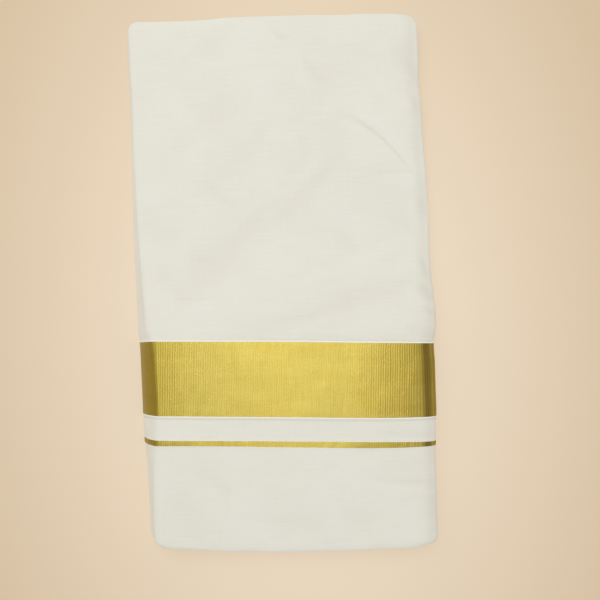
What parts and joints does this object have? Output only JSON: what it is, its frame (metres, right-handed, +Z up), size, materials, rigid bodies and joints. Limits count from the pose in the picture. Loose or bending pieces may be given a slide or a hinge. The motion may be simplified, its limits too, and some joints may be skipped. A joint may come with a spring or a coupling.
{
  "type": "folded dhoti cloth",
  "caption": "White cotton dhoti with a broad and a narrow gold zari border, folded flat into a long soft packet that lies on a surface.",
  "frame": {"origin": "under the middle of the packet's outline, on the surface that it lies on", "axes": "+X to the right as seen from above with the borders at the near end, +Y up the packet from its foot to its head, +Z up"},
  "size_m": [0.2584, 0.4666, 0.026],
  "materials": {
    "ground_cotton": "fine plain-weave cotton, unbleached white, with slubs and a soft sheen",
    "selvedge_cotton": "dense narrow woven edge, white",
    "gold_zari": "ribbed border of flat gold-coloured metallic thread, satin sheen",
    "folded_cotton": "edges of folded cotton layers"
  },
  "bodies": {
    "root": {"foot_front": "ground_cotton", "foot_spine": "ground_cotton", "foot_back": "ground_cotton", "foot_fold": "ground_cotton", "foot_underfold": "ground_cotton", "zari_line_front": "gold_zari", "zari_line_spine": "gold_zari", "zari_line_back": "gold_zari", "zari_line_fold": "gold_zari", "zari_line_underfold": "gold_zari", "gap_front": "ground_cotton", "gap_spine": "ground_cotton", "gap_back": "ground_cotton", "gap_fold": "ground_cotton", "gap_underfold": "ground_cotton", "zari_band_front": "gold_zari", "zari_band_spine": "gold_zari", "zari_band_back": "gold_zari", "zari_band_fold": "gold_zari", "zari_band_underfold": "gold_zari", "selvedge_front": "selvedge_cotton", "selvedge_spine": "selvedge_cotton", "selvedge_back": "selvedge_cotton", "selvedge_fold": "selvedge_cotton", "selvedge_underfold": "selvedge_cotton", "body_front": "ground_cotton", "body_spine": "ground_cotton", "body_back": "ground_cotton", "body_fold": "ground_cotton", "body_underfold": "ground_cotton", "inner_fold": "folded_cotton", "cut_end_lower": "folded_cotton", "cut_end_upper": "folded_cotton", "hidden_layers": "folded_cotton"}
  },
  "joints": []
}
